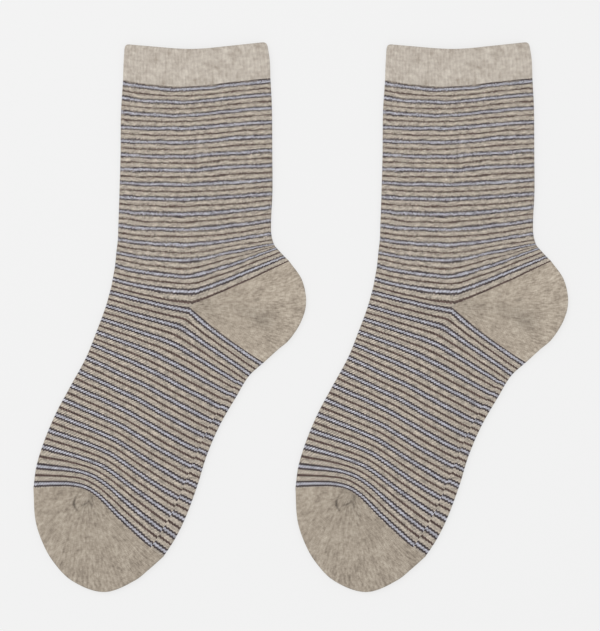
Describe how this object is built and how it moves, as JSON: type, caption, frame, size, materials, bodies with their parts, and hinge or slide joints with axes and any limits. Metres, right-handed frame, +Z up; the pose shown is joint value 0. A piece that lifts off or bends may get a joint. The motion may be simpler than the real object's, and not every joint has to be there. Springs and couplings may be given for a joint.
{
  "type": "pair of socks",
  "caption": "Pair of striped crew socks laid flat: ribbed turned welt, striped leg and foot tube, turned heel and toe pockets in plain heather.",
  "frame": {"origin": "on the table, under the middle of the pair's bounding box", "axes": "+Z up from the table, +Y from the toes towards the cuffs, +X from the left sock to the right one"},
  "size_m": [0.3206, 0.3297, 0.0044],
  "materials": {
    "ribbed_knit": "matt heather-oatmeal knit with fine upright ribs",
    "striped_knit": "matt fine jersey with narrow blue-grey, beige, brown and near-black stripes",
    "heather_knit": "matt heather-taupe fine jersey"
  },
  "bodies": {
    "root": {"left_cuff": "ribbed_knit", "left_leg_and_foot": "striped_knit", "left_heel": "heather_knit", "left_toe": "heather_knit", "right_cuff": "ribbed_knit", "right_leg_and_foot": "striped_knit", "right_heel": "heather_knit", "right_toe": "heather_knit"}
  },
  "joints": []
}
